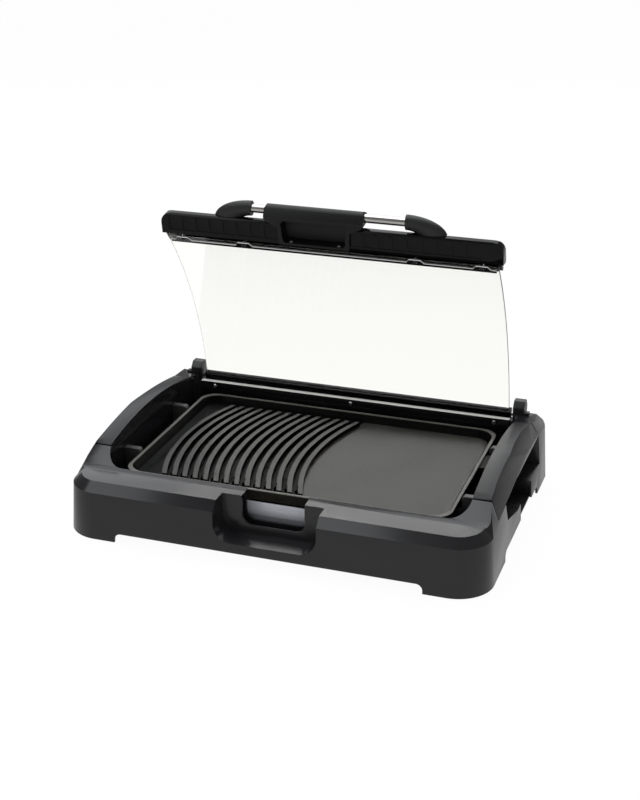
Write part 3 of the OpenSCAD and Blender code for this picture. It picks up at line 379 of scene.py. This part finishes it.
# CAD nodes that keep their shape
nodeMaterials = {
    "base_floor": floorPlastic, "rear_guard_screws": screwSteel, "bracket_screws": screwSteel,
    "inlet_screws": screwSteel, "floor_screws": screwSteel, "foot_pads": padRubber,
    "inlet_shroud": phenolicPlastic, "heating_element": sheathSteel, "element_clips": clipSteel,
    "clip_screws": screwSteel, "terminal_block": ceramicBlock, "terminal_pins": pinSteel,
    "sensor_tube": clipSteel, "lid_glass": lidGlass, "hinge_pins": pinSteel, "glass_clamp": clampStrip,
    "trim_screws": darkScrewSteel, "handle_tube": tubeSteel, "arm_screws": screwSteel,
    "grip_screws": screwSteel,
}
for nodeName, material in nodeMaterials.items():
    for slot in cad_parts[nodeName].material_slots:
        slot.material = material
print("stage: materials on the kept nodes")


# smooths a new piece, gives it its one material, puts it on its body and hides the CAD node it stands for
def finishPiece(piece, nodeName, body, material, smooth):
    deselectAll()
    bpy.context.view_layer.objects.active = piece
    piece.select_set(True)
    bpy.ops.object.shade_smooth_by_angle(angle=math.radians(smooth))
    piece.data.materials.clear()
    piece.data.materials.append(material)
    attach(piece, body)
    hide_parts(nodeName)


# where the open lid stands, in metres and degrees
lid = {"hingeY": 183 * mm, "hingeZ": 93 * mm, "glassLength": 288 * mm, "lean": 26, "trimLean": 10}
leanAngle = math.radians(lid["lean"])
trimFrame = (Matrix.Translation((0, lid["hingeY"] - lid["glassLength"] * math.sin(leanAngle),
                                 lid["hingeZ"] + lid["glassLength"] * math.cos(leanAngle)))
             @ Matrix.Rotation(math.radians(lid["trimLean"]), 4, "X"))


def deselectFaces():
    bpy.ops.object.mode_set(mode="EDIT")
    bpy.ops.mesh.select_all(action="DESELECT")
    bpy.ops.object.mode_set(mode="OBJECT")


# the cast ribs: their upright sides stand further out, so that ribs and grooves are equally wide
def widenRibs(piece):
    edgeX = plateBox[1][0] - plate["ribZone"]
    deselectFaces()
    for face in piece.data.polygons:
        middle, normal = face.center, face.normal
        onRib = (ribFront < middle.y < ribRear and abs(middle.x) < edgeX
                 and plate["floorZ"] < middle.z < plate["ribTopZ"])
        face.select = onRib and abs(normal.z) < plate["upright"][0] and abs(normal.x) > plate["upright"][1]
    bpy.ops.object.mode_set(mode="EDIT")
    bpy.ops.mesh.select_mode(type="FACE")
    bpy.ops.mesh.extrude_region_shrink_fatten(TRANSFORM_OT_shrink_fatten={"value": plate["widerRib"]})
    bpy.ops.mesh.select_mode(type="VERT")
    bpy.ops.object.mode_set(mode="OBJECT")


# the lip of the tray also hangs down, so that it fills the cut-out in the front of the base
def lengthenLip(piece):
    lip = {"front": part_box("drip_tray")[0][1] + 0.1 * mm, "thick": 1.1 * mm, "half": 60 * mm,
           "low": 39.5 * mm, "high": 51.8 * mm}
    bpy.ops.object.mode_set(mode="EDIT")
    bpy.ops.mesh.primitive_cube_add(
        size=1, location=(0, lip["front"] + lip["thick"] / 2, (lip["low"] + lip["high"]) / 2),
        scale=(2 * lip["half"], lip["thick"], lip["high"] - lip["low"]))
    bpy.ops.object.mode_set(mode="OBJECT")


# the hollows in the trim are shallow: their floors come forward
def raiseHollows(piece):
    hollow = {"floorY": 3 * mm, "lowZ": 6 * mm, "highZ": 30 * mm, "forward": 4.8 * mm,
              "within": 0.3 * mm, "facesFront": -0.9}
    toTrim = trimFrame.inverted()
    turnToTrim = toTrim.to_3x3()
    deselectFaces()
    for face in piece.data.polygons:
        middle, normal = toTrim @ face.center, turnToTrim @ face.normal
        onFloor = (abs(middle.y - hollow["floorY"]) < hollow["within"]
                   and hollow["lowZ"] < middle.z < hollow["highZ"])
        face.select = onFloor and normal.y < hollow["facesFront"]
    bpy.ops.object.mode_set(mode="EDIT")
    bpy.ops.mesh.select_mode(type="FACE")
    bpy.ops.transform.translate(value=trimFrame.to_3x3() @ Vector((0, -hollow["forward"], 0)))
    bpy.ops.mesh.select_mode(type="VERT")
    bpy.ops.object.mode_set(mode="OBJECT")


# merge in metres; flat and smooth are angles in degrees
softening = {"merge": 0.02 * mm, "flat": 0.4, "smooth": 40}


# a merged copy of a CAD solid, its flat faces joined and its edges rounded as a mould leaves them
def softCopy(nodeName, look):
    deselectAll()
    piece = bpy.data.objects.new(look["name"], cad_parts[nodeName].data.copy())
    bpy.context.collection.objects.link(piece)
    bpy.context.view_layer.objects.active = piece
    piece.select_set(True)
    bpy.ops.mesh.customdata_custom_splitnormals_clear()
    bpy.ops.object.mode_set(mode="EDIT")
    bpy.ops.mesh.select_all(action="SELECT")
    bpy.ops.mesh.remove_doubles(threshold=softening["merge"])
    bpy.ops.mesh.mark_sharp(clear=True)
    bpy.ops.mesh.dissolve_limited(angle_limit=math.radians(softening["flat"]))
    bpy.ops.object.mode_set(mode="OBJECT")
    if "change" in look:
        look["change"](piece)
    bevel = piece.modifiers.new("softEdges", "BEVEL")
    bevel.width = look["edge"]
    bevel.segments = look["steps"]
    bevel.limit_method = "ANGLE"
    bevel.angle_limit = math.radians(look["angle"])
    bevel.use_clamp_overlap = True
    bpy.ops.object.modifier_apply(modifier="softEdges")
    finishPiece(piece, nodeName, look["body"], look["material"], softening["smooth"])


# edge: width of the rounding; steps: its faces; angle: an edge that turns less than this is left alone
softPieces = {
    "base_shell": {"name": "baseShell", "body": "base", "material": housingPlastic,
                   "edge": 0.8 * mm, "steps": 3, "angle": 24},
    "side_cover_left": {"name": "sideCoverLeft", "body": "base", "material": coverPlastic,
                        "edge": 1.0 * mm, "steps": 2, "angle": 24},
    "side_cover_right": {"name": "sideCoverRight", "body": "base", "material": coverPlastic,
                         "edge": 1.0 * mm, "steps": 2, "angle": 24},
    "rear_guard": {"name": "rearGuard", "body": "base", "material": guardPlastic,
                   "edge": 0.4 * mm, "steps": 2, "angle": 30},
    "hinge_bracket_left": {"name": "hingeBracketLeft", "body": "base", "material": phenolicPlastic,
                           "edge": 0.8 * mm, "steps": 3, "angle": 24},
    "hinge_bracket_right": {"name": "hingeBracketRight", "body": "base", "material": phenolicPlastic,
                            "edge": 0.8 * mm, "steps": 3, "angle": 24},
    "plate_supports": {"name": "plateSupports", "body": "base", "material": supportPlastic,
                       "edge": 0.8 * mm, "steps": 3, "angle": 30},
    "grill_plate": {"name": "grillPlate", "body": "plate", "material": castCoat,
                    "edge": 0.6 * mm, "steps": 3, "angle": 30, "change": widenRibs},
    "drip_tray": {"name": "dripTray", "body": "tray", "material": trayMetal,
                  "edge": 0.3 * mm, "steps": 2, "angle": 30, "change": lengthenLip},
    "lid_front_trim": {"name": "lidFrontTrim", "body": "lid", "material": trimPlastic,
                       "edge": 0.6 * mm, "steps": 3, "angle": 28, "change": raiseHollows},
    "lid_rear_rail": {"name": "lidRearRail", "body": "lid", "material": trimPlastic,
                      "edge": 0.5 * mm, "steps": 3, "angle": 28},
    "handle_grip": {"name": "handleGrip", "body": "lid", "material": gripNylon,
                    "edge": 1.2 * mm, "steps": 4, "angle": 24},
}
for nodeName, look in softPieces.items():
    softCopy(nodeName, look)
print("stage: softened pieces made")


# a swept arm: round in section, thick at the trim and turning in to the end of the tube; side is 1 for
# the right arm and -1 for the left
def handleArm(side, pieceName, nodeName):
    arm = {"tubeEnd": 108 * mm, "tubeBack": 9 * mm, "trimTop": 32 * mm, "dip": 6 * mm,
           "sweep": 36 * mm, "halfWidth": 20 * mm, "halfDepth": 9 * mm, "halfTip": 10.5 * mm,
           "steps": 28, "points": 40, "smooth": 50}
    deselectAll()
    bpy.ops.mesh.primitive_circle_add(vertices=arm["points"], radius=arm["halfWidth"], fill_type="NGON",
                                      location=(arm["sweep"], 0, 0))
    piece = bpy.context.object
    piece.name = pieceName
    bpy.ops.object.transform_apply(location=True, rotation=True, scale=True)
    bpy.ops.object.mode_set(mode="EDIT")
    bpy.ops.mesh.select_all(action="SELECT")
    bpy.ops.transform.resize(value=(1, arm["halfDepth"] / arm["halfWidth"], 1), center_override=(0, 0, 0))
    bpy.ops.mesh.spin(steps=arm["steps"], angle=math.radians(90), center=(0, 0, 0), axis=(0, 1, 0))
    bpy.ops.mesh.select_all(action="SELECT")
    bpy.ops.transform.resize(value=(1, 1, arm["halfTip"] / arm["halfWidth"]), center_override=(0, 0, 0))
    bpy.ops.transform.translate(value=(arm["tubeEnd"], arm["tubeBack"], arm["trimTop"] - arm["dip"]))
    bpy.ops.mesh.bisect(plane_co=(0, 0, arm["trimTop"]), plane_no=(0, 0, 1), clear_inner=True, use_fill=True)
    bpy.ops.mesh.select_all(action="SELECT")
    bpy.ops.transform.resize(value=(side, 1, 1), center_override=(0, 0, 0))
    bpy.ops.mesh.normals_make_consistent(inside=False)
    bpy.ops.object.mode_set(mode="OBJECT")
    piece.matrix_world = trimFrame
    bpy.ops.object.transform_apply(location=True, rotation=True, scale=True)
    finishPiece(piece, nodeName, "lid", armRubber, arm["smooth"])


handleArm(-1, "handleArmLeft", "handle_arm_left")
handleArm(1, "handleArmRight", "handle_arm_right")
print("stage: handle arms made")

# floor, backdrop, light and camera
studio = {
    "floorSize": 60.0,        # metres
    "paper": "#f4f4f2",       # the floor as a matt surface
    "cameraWhite": 0.96,      # share of plain white that the camera sees on the floor
    "floorGlossy": 0.6,       # grey of the floor in reflections
    "glassWhite": 1.04,       # the floor seen through the glass, which loses a little at its faces
    "roomGlossy": 0.2,        # grey of the room in reflections
    "roomDiffuse": 0.75,      # grey of the room on matt faces
    "plainWhite": "#ffffff",
    "daylight": (0.95, 0.97, 1.0),
    "lampsAim": (0, 0, 0.1),
}
# size and place in metres, power in watts; each faces the grill
lamps = {
    # on the ledge, the deck and the plate
    "rearSoftbox": {"size": (3.2, 1.95), "power": 31.0, "place": (-0.8, 2.05, 1.8)},
    # on the slopes at both ends and on the tube
    "topStrip": {"size": (2.2, 1.5), "power": 27.0, "place": (-0.25, 0.35, 2.1)},
    # on the left of the front bevel
    "keySoftbox": {"size": (1.2, 1.2), "power": 7.5, "place": (-1.45, -0.95, 2.0)},
}


# matt pale floor that reads as white, with the object's shadow kept faintly
def whiteSurface():
    material = bpy.data.materials.new("white studio paper")
    material.use_nodes = True
    tree = material.node_tree
    tree.nodes.clear()
    rays = addNode(tree, "ShaderNodeLightPath").outputs
    camera, glossy, passing = rays["Is Camera Ray"], rays["Is Glossy Ray"], rays["Is Transmission Ray"]
    seen = addNode(tree, "ShaderNodeMath", {0: camera, 1: passing}, operation="MAXIMUM").outputs[0]
    seen = addNode(tree, "ShaderNodeMath", {0: seen, 1: glossy}, operation="MAXIMUM").outputs[0]
    share = addNode(tree, "ShaderNodeMath", {0: seen, 1: studio["cameraWhite"]}, operation="MULTIPLY")
    mirrored = addNode(tree, "ShaderNodeMath", {0: glossy, 1: passing}, operation="GREATER_THAN").outputs[0]
    inMirror = addNode(tree, "ShaderNodeMapRange", {
        "Value": mirrored, "To Min": 1.0, "To Max": studio["floorGlossy"]})
    inGlass = addNode(tree, "ShaderNodeMapRange", {
        "Value": passing, "To Min": 1.0, "To Max": studio["glassWhite"]})
    level = addNode(tree, "ShaderNodeMath", {0: inGlass.outputs["Result"], 1: inMirror.outputs["Result"]},
                    operation="MULTIPLY")
    paper = addNode(tree, "ShaderNodeBsdfDiffuse", {"Color": studio["paper"]})
    white = addNode(tree, "ShaderNodeEmission", {"Color": studio["plainWhite"], "Strength": level.outputs[0]})
    both = addNode(tree, "ShaderNodeMixShader", {
        0: share.outputs[0], 1: paper.outputs[0], 2: white.outputs[0]})
    addNode(tree, "ShaderNodeOutputMaterial", {"Surface": both.outputs[0]})
    return material


# the room is white to the camera and grey in what the grill mirrors
def makeRoom():
    world = bpy.data.worlds.new("studioRoom")
    bpy.context.scene.world = world
    world.use_nodes = True
    tree = world.node_tree
    tree.nodes.clear()
    rays = addNode(tree, "ShaderNodeLightPath").outputs
    level = addNode(tree, "ShaderNodeMapRange", {
        "Value": rays["Is Glossy Ray"], "To Min": studio["roomDiffuse"], "To Max": studio["roomGlossy"]})
    seen = addNode(tree, "ShaderNodeMath", {0: rays["Is Camera Ray"], 1: rays["Is Transmission Ray"]},
                   operation="MAXIMUM")
    grey = addNode(tree, "ShaderNodeBackground", {
        "Color": studio["plainWhite"], "Strength": level.outputs["Result"]})
    white = addNode(tree, "ShaderNodeBackground", {"Color": studio["plainWhite"], "Strength": 1.0})
    both = addNode(tree, "ShaderNodeMixShader", {
        0: seen.outputs[0], 1: grey.outputs[0], 2: white.outputs[0]})
    addNode(tree, "ShaderNodeOutputWorld", {"Surface": both.outputs[0]})


def makeLamp(name, look):
    light = bpy.data.lights.new(name, "AREA")
    light.shape = "RECTANGLE"
    light.size, light.size_y = look["size"]
    light.energy = look["power"]
    light.color = studio["daylight"]
    lamp = bpy.data.objects.new(name, light)
    lamp.location = look["place"]
    lamp.rotation_euler = (Vector(studio["lampsAim"]) - lamp.location).to_track_quat("-Z", "Y").to_euler()
    bpy.context.collection.objects.link(lamp)


def makeStudio():
    deselectAll()
    bpy.ops.mesh.primitive_plane_add(size=studio["floorSize"], location=(0, 0, 0))
    floor = bpy.context.object
    floor.name = "studioFloor"
    floor.data.materials.append(whiteSurface())
    makeRoom()
    for name, look in lamps.items():
        makeLamp(name, look)


# focal length in pixels of a picture imageWidth wide; yaw to the right and pitch from above in degrees
view = {
    "focalPixels": 1480.33, "imageWidth": 640, "sensorWidth": 36,
    "yaw": 18.83, "pitch": 22.57, "distance": 2.0045, "aim": (0.0086, 0, 0.1557),
}


def makeCamera():
    yaw, pitch = math.radians(view["yaw"]), math.radians(view["pitch"])
    away = Vector((math.sin(yaw) * math.cos(pitch), -math.cos(yaw) * math.cos(pitch), math.sin(pitch)))
    data = bpy.data.cameras.new("frontRight")
    data.sensor_fit = "HORIZONTAL"
    data.sensor_width = view["sensorWidth"]
    data.lens = view["focalPixels"] / view["imageWidth"] * view["sensorWidth"]
    camera = bpy.data.objects.new("frontRight", data)
    camera.location = Vector(view["aim"]) + away * view["distance"]
    camera.rotation_euler = (-away).to_track_quat("-Z", "Y").to_euler()
    bpy.context.collection.objects.link(camera)
    bpy.context.scene.camera = camera


makeStudio()
makeCamera()
bpy.context.scene.view_settings.view_transform = "Standard"
print("stage: studio and camera ready")
